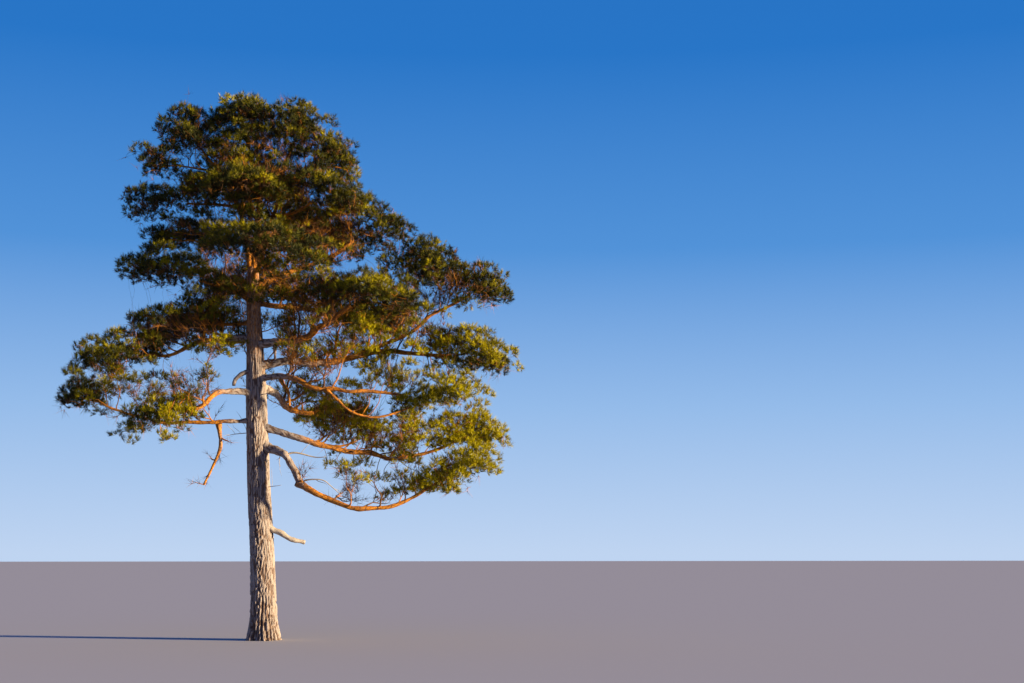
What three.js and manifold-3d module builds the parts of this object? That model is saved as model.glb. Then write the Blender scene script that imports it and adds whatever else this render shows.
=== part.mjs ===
// An old, open-grown scots pine, rooted in level ground and 16.5 m tall.
// Millimetres, +Z up. The origin is the centre of the flat cut under the trunk, at ground level.
// +X is to the right and +Y away, for someone who stands 43 m off and sees the tree from its front.
// The wood is a trunk, three leaders, the boughs and one dead stub. Each bough is one tapering limb
// that ends in a socket of the foliage mass it carries. The foliage is a set of separate uneven pads.
import * as THREE from "three";
import { mergeVertices } from "three/addons/utils/BufferGeometryUtils.js";
import Module from "manifold-3d";

const wasm = await Module();
wasm.setup();

// Clearance in mm where wood touches wood or foliage, and where two uneven masses touch.
const SEAT = 0.3;
const PAD_SEAT = 0.45;

// The trunk: its centreline with the lean to the left, and its diameter at those heights.
const TRUNK_LINE = [
  [0, 0, 0], [-10, 0, 1150], [-70, 0, 2300], [-200, 0, 4050], [-300, 0, 5500],
  [-350, 0, 6400], [-390, 0, 7600], [-450, 0, 8500], [-540, 0, 10000], [-600, 0, 11200],
];
const TRUNK_GIRTH = [
  [0, 820], [600, 780], [1350, 755], [2300, 740], [4050, 700], [5500, 670],
  [6400, 640], [7600, 610], [8500, 520], [10000, 410], [11200, 320],
];
const TRUNK_SIDES = 16;
const TRUNK_RINGS = 14;
// Above 1, the trunk's rings crowd towards the ground.
const FLARE_CROWDING = 1.9;

// The root flare: buttresses that stand out at ground level and fade with height.
const ROOTS = 5;
const ROOT_SPREAD = 0.36;
const ROOT_HEIGHT = 280;
const ROOT_TURN = 0.5;

const LIMB_SIDES = 6;
const LIMB_STEP = 780;
// Below 1, a limb loses more of its girth near its foot than near its end.
const TAPER = 0.8;

// Each limb: the solid it leaves, how far along that solid's line its foot is, the bends of its route,
// the mass it ends in or its own free end, its diameter at foot and end, and its own ring step if it
// bends too sharply for the common one.
const LIMBS = [
  { name: "leader_mid", from: "trunk", foot: 10950, girth: [240, 90],
    via: [[-490, 200, 12050], [-460, 300, 13500]], to: "top_crest" },
  { name: "leader_left", from: "trunk", foot: 10950, girth: [210, 90],
    via: [[-850, 100, 11900], [-1150, 100, 13250]], to: "top_left" },
  { name: "leader_right", from: "trunk", foot: 10950, girth: [210, 90],
    via: [[-210, 0, 11950], [90, 0, 12950], [250, 0, 13900]], to: "top_right" },
  { name: "bough_left_arm", from: "leader_left", foot: 2000, girth: [130, 70],
    via: [[-1560, 200, 12950]], to: "left_arm" },
  { name: "bough_left_tuft", from: "leader_left", foot: 2950, girth: [110, 60],
    via: [[-2030, 100, 14000]], to: "left_tuft" },
  { name: "bough_left_back_high", from: "leader_left", foot: 900, girth: [130, 80],
    via: [[-1400, 900, 11950]], to: "left_back_high" },
  { name: "bough_right_shoulder", from: "leader_right", foot: 2650, girth: [110, 70],
    via: [[700, 100, 13950]], to: "right_shoulder" },
  { name: "bough_right_high", from: "leader_right", foot: 1800, girth: [130, 80],
    via: [[620, -800, 12580]], to: "right_high" },
  { name: "bough_back_high", from: "leader_right", foot: 1200, girth: [140, 80],
    via: [[500, 1100, 12150]], to: "back_high" },
  { name: "bough_front_high", from: "leader_mid", foot: 1520, girth: [130, 80],
    via: [[-640, -900, 12630]], to: "front_high" },
  { name: "bough_right_upper", from: "trunk", foot: 10400, girth: [200, 110],
    via: [[530, 200, 10980], [1750, 400, 11430]], to: "right_upper" },
  { name: "bough_front", from: "trunk", foot: 10700, girth: [190, 110],
    via: [[-440, -1200, 10800]], to: "front_pad" },
  { name: "bough_back", from: "trunk", foot: 10550, girth: [190, 110],
    via: [[-540, 1500, 10500]], to: "back_pad" },
  { name: "bough_back_right", from: "trunk", foot: 9950, girth: [210, 110],
    via: [[800, 1200, 10050]], to: "back_right" },
  { name: "bough_left_pad", from: "trunk", foot: 9900, girth: [160, 90],
    via: [[-1000, -200, 10220]], to: "left_pad" },
  { name: "bough_left_shelf", from: "trunk", foot: 9400, girth: [170, 90],
    via: [[-1130, 500, 9300]], to: "left_shelf" },
  { name: "bough_back_left", from: "trunk", foot: 9100, girth: [190, 100],
    via: [[-900, 1300, 8900]], to: "back_left" },
  { name: "bough_left_end", from: "trunk", foot: 8850, girth: [240, 110],
    via: [[-1260, 100, 8850], [-2270, 100, 8700], [-2880, 200, 8280]], to: "left_end" },
  { name: "bough_right_front", from: "trunk", foot: 8680, girth: [300, 160],
    via: [[310, -300, 8720], [920, -600, 8720], [1310, -1100, 8980]], to: "right_front" },
  { name: "bough_right_arm", from: "trunk", foot: 7900, girth: [340, 110],
    via: [[320, 100, 8210], [1260, 400, 8200], [2440, 500, 8380], [3400, 500, 8640]], to: "right_arm" },
  { name: "bough_right_crest", from: "bough_right_arm", foot: 2900, girth: [190, 90],
    via: [[3550, 400, 8870], [4430, 300, 9330], [4820, 200, 9760]], to: "right_end" },
  { name: "bough_right_shelf", from: "trunk", foot: 7560, girth: [240, 90],
    via: [[330, -500, 7730], [1000, -900, 7430], [1750, -1100, 7190], [2700, -1100, 7270]],
    to: "right_shelf" },
  { name: "bough_right_shelf_fork", from: "bough_right_shelf", foot: 2500, girth: [110, 60],
    via: [[2160, -1200, 6740], [3190, -1150, 6420]], to: "right_shelf" },
  { name: "bough_left_bright", from: "trunk", foot: 7220, girth: [240, 140],
    via: [[-1190, -600, 7190], [-1630, -1100, 7040], [-1800, -1400, 6700]], to: "left_bright" },
  { name: "bough_back_right_low", from: "trunk", foot: 7400, girth: [280, 160],
    via: [[140, 600, 7350], [620, 1800, 6900]], to: "back_right_low" },
  { name: "bough_left_tip", from: "trunk", foot: 6400, girth: [160, 70],
    via: [[-1180, -100, 6340], [-2100, 0, 6300], [-3440, 100, 6350]], to: "left_tip" },
  { name: "bough_low_right_upper", from: "trunk", foot: 6150, girth: [260, 90],
    via: [[550, -200, 6040], [1470, -200, 5640], [3060, 100, 5430], [4200, 400, 5330]], to: "low_arm" },
  { name: "bough_low_right_elbow", from: "trunk", foot: 5500, girth: [300, 220],
    via: [[330, -400, 5500], [590, -600, 5330], [680, -700, 4900]], end: [1010, -800, 4460] },
  { name: "bough_low_right", from: "bough_low_right_elbow", foot: 2100, girth: [220, 90],
    via: [[1700, -1000, 4050], [2880, -1100, 3750], [3960, -1000, 4000]], to: "low_end" },
  { name: "dead_stub", from: "trunk", foot: 3220, girth: [235, 130], step: 240,
    via: [[240, -160, 3150], [400, -200, 3110], [560, -200, 2990], [690, -200, 2875], [880, -200, 2850]],
    end: [1130, -200, 2830] },
];
// A limb ends short of the middle of its mass, at this share of the way out to the mass's surface.
const END_SHARE = 0.5;

// Each foliage mass: its middle, its full width, depth and height, and the rise of its pad towards +X.
const MASSES = [
  { name: "top_crest", at: [-1040, 200, 15680], size: [2500, 3000, 1640], rise: 0 },
  { name: "top_left", at: [-2600, 200, 15150], size: [2300, 2800, 2000], rise: 0.25 },
  { name: "top_right", at: [700, -100, 15330], size: [2200, 3000, 2000], rise: -0.5 },
  { name: "right_shoulder", at: [1750, 200, 14600], size: [1900, 2500, 1800], rise: -0.5 },
  { name: "heart", at: [-1000, 1200, 13950], size: [4000, 2700, 2000], rise: 0 },
  { name: "left_tuft", at: [-3400, 100, 14180], size: [1600, 1800, 1400], rise: 0.1 },
  { name: "left_arm", at: [-3300, 400, 13000], size: [3000, 2400, 1300], rise: 0.15 },
  { name: "left_back_high", at: [-2800, 2300, 12250], size: [2800, 2700, 1600], rise: 0.1 },
  { name: "front_high", at: [-870, -2100, 13080], size: [2800, 2000, 1400], rise: 0 },
  { name: "right_high", at: [1520, -1600, 12950], size: [2700, 2300, 1650], rise: -0.2 },
  { name: "back_high", at: [1400, 3000, 12600], size: [3300, 2800, 1800], rise: -0.1 },
  { name: "right_upper", at: [2940, 500, 12480], size: [3300, 2700, 2200], rise: -0.38 },
  { name: "front_pad", at: [-160, -3100, 10980], size: [3900, 2900, 1850], rise: -0.12 },
  { name: "back_pad", at: [-400, 4200, 11000], size: [3800, 2900, 1700], rise: 0 },
  { name: "left_pad", at: [-2850, -400, 10700], size: [3500, 2600, 1650], rise: -0.05 },
  { name: "left_shelf", at: [-2850, 1000, 9480], size: [3200, 2300, 1350], rise: 0.12 },
  { name: "back_left", at: [-2900, 3400, 9400], size: [3100, 2700, 1500], rise: 0.1 },
  { name: "left_end", at: [-4350, 200, 8350], size: [3000, 3000, 1950], rise: 0.05 },
  { name: "left_tip", at: [-5300, -300, 7000], size: [1950, 2000, 1450], rise: 0.15 },
  { name: "left_bright", at: [-2940, -1600, 6350], size: [2300, 2000, 1400], rise: 0.1 },
  { name: "right_crest", at: [4770, 200, 11200], size: [2900, 3000, 2010], rise: -0.05 },
  { name: "right_end", at: [6450, 0, 10580], size: [1950, 2400, 2050], rise: -0.22 },
  { name: "right_front", at: [2700, -2000, 9900], size: [3400, 2300, 1700], rise: -0.12 },
  { name: "back_right", at: [3200, 3600, 10150], size: [3500, 2900, 1700], rise: -0.1 },
  { name: "right_arm", at: [6050, 300, 8450], size: [3100, 2700, 2100], rise: -0.1 },
  { name: "right_shelf", at: [4700, -900, 7000], size: [3100, 2000, 1400], rise: 0.25 },
  { name: "back_right_low", at: [1950, 3500, 6850], size: [2400, 2200, 1300], rise: 0 },
  { name: "low_arm", at: [6350, 900, 6160], size: [2300, 2300, 1750], rise: 0 },
  { name: "low_end", at: [5600, -700, 4950], size: [2600, 2300, 1900], rise: 0.3 },
];

// Pads are domed above and flatter below: the share of a pad's height that lies above its widest level.
const DOME_SHARE = 0.6;
const PAD_DETAIL = 3;
const LUMPS = 11;
const LUMP_RISE = 0.3;
const LUMP_SHARPNESS = 5;
const LUMP_LIMIT = 1.5;

const BARK = new THREE.MeshStandardMaterial({ color: 0x9a8674, roughness: 0.95, metalness: 0 });
const ORANGE_BARK = new THREE.MeshStandardMaterial({ color: 0xb0713c, roughness: 0.85, metalness: 0 });
const DEAD_WOOD = new THREE.MeshStandardMaterial({ color: 0xb5a48c, roughness: 0.9, metalness: 0 });
const FOLIAGE = new THREE.MeshStandardMaterial({ color: 0x5a6420, roughness: 0.8, metalness: 0 });

// A repeatable source of numbers from 0 to 1.
function randomFrom(seed) {
  let state = seed >>> 0;
  return () => {
    state = (state + 0x6d2b79f5) >>> 0;
    let mixed = Math.imul(state ^ (state >>> 15), 1 | state);
    mixed = (mixed + Math.imul(mixed ^ (mixed >>> 7), 61 | mixed)) ^ mixed;
    return ((mixed ^ (mixed >>> 14)) >>> 0) / 2 ** 32;
  };
}

// The value at x on the straight stretches between pairs of [x, value].
function along(stations, x) {
  const last = stations.length - 1;
  let i = 0;
  while (i < last - 1 && stations[i + 1][0] < x) i++;
  const [x0, a] = stations[i];
  const [x1, b] = stations[i + 1];
  return THREE.MathUtils.mapLinear(x, x0, x1, a, b);
}

const toPoint = (place) => new THREE.Vector3(...place);

function smoothLine(points) {
  return new THREE.CatmullRomCurve3(points, false, "centripetal");
}

// Where a limb ends: in its mass, short of the middle as seen from its last bend, or at its free end.
function endOf(limb) {
  if (limb.end) return toPoint(limb.end);
  const { at, size } = MASSES.find((mass) => mass.name === limb.to);
  const middle = toPoint(at);
  const back = toPoint(limb.via[limb.via.length - 1]).sub(middle).normalize();
  const reach = 1 / back.clone().divide(toPoint(size).divideScalar(2)).length();
  return middle.addScaledVector(back, END_SHARE * reach);
}

// The centreline of the trunk and of every limb, by name.
function centrelines() {
  const lines = { trunk: smoothLine(TRUNK_LINE.map(toPoint)) };
  for (const limb of LIMBS) {
    const parent = lines[limb.from];
    const foot = parent.getPointAt(Math.min(1, limb.foot / parent.getLength()));
    lines[limb.name] = smoothLine([foot, ...limb.via.map(toPoint), endOf(limb)]);
  }
  return lines;
}

// A geometry with nothing but its positions, each shared by the faces that meet there.
function onlyPositions(geometry) {
  geometry.deleteAttribute("normal");
  geometry.deleteAttribute("uv");
  return mergeVertices(geometry);
}

// A closed cylinder bent onto a row of rings. Each ring has a centre, two directions across it and a
// radius by angle, counted from the first direction towards the second.
function bentCylinder(rings, sides) {
  const steps = rings.length - 1;
  const geometry = onlyPositions(new THREE.CylinderGeometry(1, 1, 1, sides, steps));
  const position = geometry.getAttribute("position");
  for (let i = 0; i < position.count; i++) {
    const ring = rings[Math.round((position.getY(i) + 0.5) * steps)];
    const spoke = new THREE.Vector2(position.getZ(i), position.getX(i));
    spoke.multiplyScalar(ring.radiusAt(spoke.angle()));
    const point = ring.centre.clone().addScaledVector(ring.across, spoke.x).addScaledVector(ring.up, spoke.y);
    position.setXYZ(i, point.x, point.y, point.z);
  }
  return geometry;
}

// Level rings up the trunk, closer together in the root flare. grown is extra radius.
function trunkGeometry(line, grown = 0) {
  const rings = [];
  for (let i = 0; i < TRUNK_RINGS; i++) {
    const centre = line.getPointAt((i / (TRUNK_RINGS - 1)) ** FLARE_CROWDING);
    const spread = ROOT_SPREAD * Math.exp(-centre.z / ROOT_HEIGHT);
    const radius = along(TRUNK_GIRTH, centre.z) / 2;
    rings.push({
      centre,
      across: new THREE.Vector3(1, 0, 0),
      up: new THREE.Vector3(0, 1, 0),
      radiusAt: (angle) => radius * (1 + spread * (1 + Math.cos(ROOTS * angle + ROOT_TURN)) / 2) + grown,
    });
  }
  return bentCylinder(rings, TRUNK_SIDES);
}

// A tapering limb along its line. grown is extra radius, and extra length at the end.
function limbGeometry(line, { girth, step = LIMB_STEP }, grown = 0) {
  const count = Math.ceil(line.getLength() / step) + 1;
  const frames = line.computeFrenetFrames(count, false);
  const rings = [];
  for (let i = 0; i <= count; i++) {
    const share = i / count;
    const centre = line.getPointAt(share);
    if (i === count) centre.addScaledVector(frames.tangents[i], grown);
    const radius = THREE.MathUtils.lerp(girth[0], girth[1], share ** TAPER) / 2 + grown;
    rings.push({ centre, across: frames.normals[i], up: frames.binormals[i], radiusAt: () => radius });
  }
  return bentCylinder(rings, LIMB_SIDES);
}

// Directions spread at random over a ball, for the lumps of one pad.
function lumpDirections(seed) {
  const random = randomFrom(seed);
  return Array.from({ length: LUMPS }, () => {
    const height = 2 * random() - 1;
    const turn = 2 * Math.PI * random();
    return new THREE.Vector3().setFromCylindricalCoords(Math.sqrt(1 - height * height), turn, height);
  });
}

// One uneven pad: a lumpy ball, domed above and flat below, leant by its rise and stretched to its size.
function padGeometry({ at, size, rise }, seed) {
  const lumps = lumpDirections(seed);
  const geometry = onlyPositions(new THREE.OctahedronGeometry(1, PAD_DETAIL));
  const position = geometry.getAttribute("position");
  const point = new THREE.Vector3();
  for (let i = 0; i < position.count; i++) {
    point.fromBufferAttribute(position, i).normalize();
    const swelling = lumps.reduce((sum, lump) => sum + Math.exp(LUMP_SHARPNESS * (point.dot(lump) - 1)), 0);
    point.multiplyScalar(1 + LUMP_RISE * Math.min(swelling, LUMP_LIMIT));
    point.z *= point.z > 0 ? DOME_SHARE : 1 - DOME_SHARE;
    point.z += (point.x * rise * size[0]) / size[2] / 2;
    position.setXYZ(i, point.x, point.y, point.z);
  }
  geometry.center();
  const whole = geometry.boundingBox.getSize(new THREE.Vector3());
  geometry.scale(size[0] / whole.x, size[1] / whole.y, size[2] / whole.z);
  geometry.translate(...at);
  return geometry;
}

// The same surface with each vertex moved out by a distance along its normal.
function swollen(geometry, distance) {
  const grown = geometry.clone();
  grown.computeVertexNormals();
  const position = grown.getAttribute("position");
  const normal = grown.getAttribute("normal");
  const point = new THREE.Vector3();
  const out = new THREE.Vector3();
  for (let i = 0; i < position.count; i++) {
    out.fromBufferAttribute(normal, i);
    point.fromBufferAttribute(position, i).addScaledVector(out, distance);
    position.setXYZ(i, point.x, point.y, point.z);
  }
  return grown;
}

function toSolid(geometry) {
  return new wasm.Manifold(new wasm.Mesh({
    numProp: 3,
    vertProperties: geometry.getAttribute("position").array,
    triVerts: new Uint32Array(geometry.index.array),
  }));
}

// What is left of a solid after the cutters. A cut may leave crumbs, so only the largest body is kept.
function cutBack(solid, cutters) {
  const bodies = solid.subtract(wasm.Manifold.union(cutters)).decompose();
  return bodies.reduce((a, b) => (a.volume() > b.volume() ? a : b));
}

// A named mesh whose geometry is centred on the mesh's own position.
function toMesh(name, solid, material) {
  const { vertProperties, triVerts } = solid.getMesh();
  const geometry = new THREE.BufferGeometry();
  geometry.setAttribute("position", new THREE.BufferAttribute(vertProperties.slice(), 3));
  geometry.setIndex(new THREE.BufferAttribute(triVerts.slice(), 1));
  geometry.computeBoundingBox();
  const middle = geometry.boundingBox.getCenter(new THREE.Vector3()).round();
  geometry.translate(-middle.x, -middle.y, -middle.z);
  geometry.computeVertexNormals();
  const mesh = new THREE.Mesh(geometry, material);
  mesh.name = name;
  mesh.position.copy(middle);
  return mesh;
}

const wood = new THREE.Group();
const crown = new THREE.Group();
const lines = centrelines();

// The trunk stays whole. Each limb is cut back to the wood before it, so that forks meet face to face.
wood.add(toMesh("trunk", toSolid(trunkGeometry(lines.trunk)), BARK));
const grownWood = [toSolid(trunkGeometry(lines.trunk, SEAT))];
for (const limb of LIMBS) {
  const line = lines[limb.name];
  const solid = cutBack(toSolid(limbGeometry(line, limb)), grownWood);
  wood.add(toMesh(limb.name, solid, limb.name.startsWith("dead") ? DEAD_WOOD : ORANGE_BARK));
  grownWood.push(toSolid(limbGeometry(line, limb, SEAT)));
}

// Each mass is cut round all the wood and round the masses before it.
const cutters = [wasm.Manifold.union(grownWood)];
MASSES.forEach((mass, index) => {
  const pad = padGeometry(mass, index + 1);
  crown.add(toMesh(`foliage_${mass.name}`, cutBack(toSolid(pad), cutters), FOLIAGE));
  cutters.push(toSolid(swollen(pad, PAD_SEAT)));
});

const tree = new THREE.Group();
tree.add(wood, crown);
export default tree;
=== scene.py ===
"""An old scots pine: its bark, boughs, twigs and needles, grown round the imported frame. Metres, +Z up.

The trunk and the boughs are sliced out of the frame and given bark with real relief. From them a
branching rule grows towards places spread under the surface of each foliage mass, and each place that
it reaches carries a spray of needles or a bare twig. The needles' colours are dealt out by spray.
"""

import math

import bpy
import numpy as np
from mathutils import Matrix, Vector
from mathutils.bvhtree import BVHTree
from mathutils.kdtree import KDTree


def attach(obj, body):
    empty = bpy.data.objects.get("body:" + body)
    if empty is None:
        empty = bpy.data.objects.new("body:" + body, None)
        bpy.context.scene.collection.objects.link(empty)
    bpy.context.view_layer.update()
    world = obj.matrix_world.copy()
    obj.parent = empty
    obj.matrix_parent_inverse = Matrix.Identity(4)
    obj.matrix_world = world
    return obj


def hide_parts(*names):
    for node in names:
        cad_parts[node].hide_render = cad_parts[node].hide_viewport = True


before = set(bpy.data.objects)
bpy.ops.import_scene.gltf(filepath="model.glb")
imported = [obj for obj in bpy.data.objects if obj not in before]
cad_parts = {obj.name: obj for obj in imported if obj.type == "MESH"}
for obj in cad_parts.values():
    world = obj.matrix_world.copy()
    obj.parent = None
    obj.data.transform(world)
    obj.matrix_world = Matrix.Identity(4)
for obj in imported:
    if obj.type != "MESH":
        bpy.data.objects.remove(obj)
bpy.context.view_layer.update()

UP = np.array([0.0, 0.0, 1.0])
LEVEL_ENOUGH = 0.9
GOLDEN_TURN = 2.39996
FOLIAGE_NODES = sorted(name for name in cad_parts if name.startswith("foliage_"))
LIMB_NODES = sorted(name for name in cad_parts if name.startswith(("bough_", "leader_")))

# The photograph's camera: where it stands, its turn towards +X, its upward tilt and its lens.
CAMERA_PLACE = (0.0, -42.77, 2.50)
CAMERA_TURN = math.radians(9.74)
CAMERA_TILT = math.radians(8.46)
LENS_MM = 50
SENSOR_MM = 36

# A low warm light from the right, a sky with a colour for each height, and a plain floor. As the Y of
# a direction goes from the first number of SKY_DIMS to the second, the sky is tinted by SKY_BEHIND.
KEY_BEARING = math.radians(67)
KEY_HEIGHT = math.radians(8)
KEY_SOFTNESS = math.radians(4)
KEY_STRENGTH = 13.0
KEY_COLOUR = (1.0, 0.76, 0.47)
KEY_WAY = np.array([
    math.cos(KEY_HEIGHT) * math.sin(KEY_BEARING),
    -math.cos(KEY_HEIGHT) * math.cos(KEY_BEARING),
    math.sin(KEY_HEIGHT),
])
SKY = [
    (0.00, (0.52, 0.66, 0.88)),
    (0.10, (0.30, 0.50, 0.82)),
    (0.21, (0.085, 0.29, 0.69)),
    (0.34, (0.022, 0.18, 0.57)),
    (0.80, (0.010, 0.10, 0.40)),
]
SKY_BEHIND = (0.28, 0.42, 0.62)
SKY_DIMS = (0.6, -0.2)
FLOOR_REACH = 400.0
FLOOR_COLOUR = (0.50, 0.50, 0.50)

# The photograph shows the trunk lit up to this height. Within this reach of the light's way to it no
# spray stays, and only this share of the side branches.
LIT_TRUNK_TO = 7.7
LIT_TRUNK_REACH = 0.44
SHADE_ANYWAY = 0.12

# The trunk's mesh: its rows crowd towards the ground, and close over its top just below its end.
TRUNK_ROWS = 210
TRUNK_COLUMNS = 152
TRUNK_CROWDING = 1.2
TOP_CLOSES = (-0.45, 0.1)
CUT_MARGIN = 0.002
OUTLINE_SMOOTHING = 6
MIDDLE_SMOOTHING = 8
ROOT_WAVES = 7

# Its foot splays into narrow legs and swells, and its face swells here and there.
LEGS = 23
LEG_DEPTH = 0.080
LEG_HEIGHT = 1.10
LEG_STRAY = 1.3
LEG_STRAY_SCALE = 1.5
LEG_STRAY_UP = 1.2
LEG_SHARPNESS = 1.5
LEG_FADE = 1.5
# In the gaps between the legs the plates give way to the dark crack colour: painted shade.
LEG_GAPS_PAINTED_SHADE = 0.85
FOOT_SWELL = 0.065
FOOT_SWELL_HEIGHT = 0.40
TRUNK_SWELL = 0.012
TRUNK_SWELL_SCALE = (2.2, 2.2, 1.1)

# Bark: the height where old plated bark gives way to thin orange bark, how far that strays, the width
# and length of the plates, how far they weave, and how deep the cracks between them are.
OLD_BARK_TO = 7.6
YOUNG_BARK_FROM = 10.2
YOUNG_SHARE = 0.65
BARK_STRAY = 1.3
BARK_STRAY_SCALE = (1.6, 1.6, 0.9)
TRUNK_PLATE = (0.068, 0.50)
LIMB_PLATE = (0.050, 0.16)
PLATE_WEAVE = 0.50
WEAVE_SIZE = 0.12
PLATE_STEP = 0.25
PLATE_EDGE = 0.40
FINE_PLATES = 2
FINE_DEPTH = 0.22
FINE_SHOWS = 0.45
CRACK_DEPTH_AT_FOOT = 0.042
FOOT_BARK_HEIGHT = 2.2
CRACK_DEPTH_OLD = 0.020
CRACK_DEPTH_YOUNG = 0.004
LIMB_CRACKS = 0.008

# A limb's middle line, from slices across it: where they start and end, how far they look, and the
# share of its full area below which a slice is cut off by the parent.
ROUTE_STATIONS = 44
ROUTE_SPAN = (0.03, 0.98)
ROUTE_STEP = 0.055
ROUTE_SMOOTHING = 2
RADIUS_SMOOTHING = 4
END_SLICES = (0.15, 0.85)
SLICE_REACH = 0.45
WHOLE_SLICE = 0.9
ROOT_IN_PARENT = 1.2

# A limb's mesh: the width of its columns, the collar at its foot, its sway and swellings, and how many
# radii out from the trunk old bark ends, sooner high in the crown.
COLUMN_WIDTH = 0.042
FEWEST_COLUMNS = 8
MOST_COLUMNS = 20
COLLAR_SWELL = 0.42
COLLAR_LENGTH = 1.3
COLLAR_MARGIN = 0.15
GNARL_SWELL = 0.20
GNARL_SCALES = (4.5, 11)
GNARL_SWAY = 0.065
GNARL_SIZE = 0.6
SWAY_FROM_FOOT = 1.0
SWAY_TO_END = 0.4
OLD_BARK_REACH = (9.0, 19.0)
OLD_REACH_STRAY = 0.35
OLD_REACH_SCALE = 1.4
YOUNG_BARK_ABOVE = (8.0, 10.5)
YOUNG_BARK_NEARER = 2.2

# Dead wood: the stub's knots and broken end, each with the scale of its noise, and the bare branches.
STUB_COLUMNS = 18
STUB_KNOTS = 0.22
KNOT_SCALES = (6, 17)
STUB_BREAK = 0.35
BREAK_SCALES = (40, 60)
DEAD_COLUMNS = 5
DEAD_SIDES_KEPT = 2

# Lumps of foliage under the surface of the masses and deeper in: how far apart they are, their size
# and depth, and where high in the crown they lie closer.
HIGH_CROWN = (10.5, 13.0)
LUMP_TRIES = 60.0
LUMP_SPACING = 0.505
LUMP_RADIUS = (0.17, 0.31)
LUMP_DEPTH = 0.10
LUMP_STRAY = 0.13
LUMP_GAPS = (-0.55, -0.95)
CLUMP_SIZE = 0.9
WALL_REACH = 0.35
WALL_OFFSET = 0.02
WALLED_KEPT = (0.5, 1.0)
UNDERSIDE_KEPT = 0.85
UPWARD_KEPT = 1.3
INNER_KEPT = (0.25, 1.0)
INNER_SPACING = 0.66
INNER_DEPTH = (0.45, 0.80)
# The inner lumps' sprays are made darker by this much: painted shade deep in the crown.
INNER_PAINTED_SHADE = 0.9
LOOSE_RADIUS = (0.13, 0.25)
TIP_CLUMPS = 0.14
TIP_CLUMP_RADIUS = (0.11, 0.20)

# Sprays over the top and outer side of each lump, and bare twigs under the surface of the masses.
SPRAYS_PER_AREA = 200.0
SPRAY_SPACING = 0.085
DOME_EDGE = -0.08
DOME_HEIGHT = 0.80
FIRST_TURN = 6
FACE_LEAN = 0.55
SPRAY_STRAY = 0.14
SPRAY_REACH = (0.82, 1.06)
BARE_DENSITY = 3.2
BARE_DEPTH = (0.1, 0.9)

# Open parts of the crown with thin foliage: middle, width, depth and height, and how many small lumps
# each holds.
LOOSE_PARTS = [
    ((3.3, -0.3, 8.5), (3.4, 2.6, 1.3), 26),
    ((3.6, -0.3, 7.5), (3.6, 2.4, 1.3), 24),
    ((5.9, 0.0, 7.6), (2.4, 2.0, 1.6), 20),
    ((4.6, 0.2, 6.1), (3.0, 2.0, 1.2), 22),
    ((5.2, -0.4, 5.6), (2.6, 1.8, 1.4), 16),
    ((4.6, -0.9, 4.4), (2.0, 1.5, 1.0), 16),
    ((1.4, -0.3, 9.2), (3.0, 2.0, 1.4), 14),
    ((-1.5, -0.3, 8.5), (1.9, 1.4, 0.6), 10),
    ((-0.7, -1.5, 12.5), (1.8, 1.4, 0.7), 10),
    ((-4.9, -0.3, 7.5), (2.8, 1.8, 1.3), 22),
    ((-3.4, -1.0, 5.9), (2.2, 1.8, 0.6), 12),
    ((-1.9, 0.0, 9.8), (2.6, 2.4, 1.5), 8),
    ((-0.4, 0.3, 10.4), (5.0, 3.6, 2.2), 14),
    ((1.8, 0.3, 10.6), (3.4, 3.0, 2.2), 12),
    ((-0.3, -0.9, 10.2), (2.6, 1.4, 1.2), 10),
    ((3.1, -1.2, 9.9), (3.6, 1.8, 3.0), 40),
    ((3.4, 0.7, 5.4), (3.8, 1.4, 1.8), 32),
    ((2.0, 0.8, 6.8), (2.4, 1.4, 1.6), 20),
    ((2.6, 0.9, 8.2), (3.6, 1.6, 1.2), 18),
    ((-0.2, -0.4, 14.4), (4.4, 2.2, 1.9), 84),
    ((-0.4, -0.4, 12.9), (5.6, 2.6, 1.8), 60),
]

# Clear sky between the limbs, where no side branch or spray grows: middle, width, depth and height.
CLEAR_PARTS = [
    ((-1.35, 0.0, 7.70), (2.3, 3.2, 1.0)),
]
MOST_IN_CLEAR = 0.3

# Single branches with bark that hang or break off where the photograph shows them, and bare dead ones:
# radius at foot and end, and the places they pass. Each is led back to the nearest wood.
ODD_BRANCHES = [
    (0.070, 0.034, [
        (-1.44, 0, 6.25), (-1.33, 0, 5.59), (-1.55, 0, 5.12), (-1.72, 0, 4.80), (-1.84, 0, 4.41),
    ]),
    (0.080, 0.055, [(-0.40, -0.05, 7.86), (-0.73, -0.1, 7.83), (-1.04, -0.1, 7.62), (-1.04, -0.1, 7.33)]),
    (0.055, 0.035, [(0.33, -0.5, 7.52), (0.56, -0.65, 7.15), (0.61, -0.7, 6.70)]),
    (0.065, 0.040, [(0.13, -0.3, 8.50), (0.15, -0.3, 8.12)]),
]
DEAD_BRANCHES = [
    (0.016, 0.005, [(0.30, -0.3, 5.02), (0.45, -0.35, 4.99)]),
    (0.016, 0.005, [(0.25, -0.3, 4.43), (0.50, -0.35, 4.49)]),
    (0.018, 0.006, [(-0.68, 0, 6.01), (-1.28, 0, 5.92)]),
    (0.018, 0.006, [(-0.10, -0.35, 7.15), (0.29, -0.5, 7.12), (0.42, -0.5, 7.10)]),
    (0.034, 0.010, [(0.62, -0.6, 5.43), (0.93, -0.65, 5.40), (1.46, -0.75, 5.25), (1.75, -0.8, 5.30)]),
    (0.026, 0.008, [(1.10, -0.9, 4.62), (1.66, -1.0, 4.60), (1.95, -1.05, 4.32), (2.19, -1.0, 4.11)]),
    (0.020, 0.006, [(3.68, 0, 5.41), (4.08, 0, 5.12), (4.47, 0, 4.91)]),
]
ODD_SIDES_KEPT = 3

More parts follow.
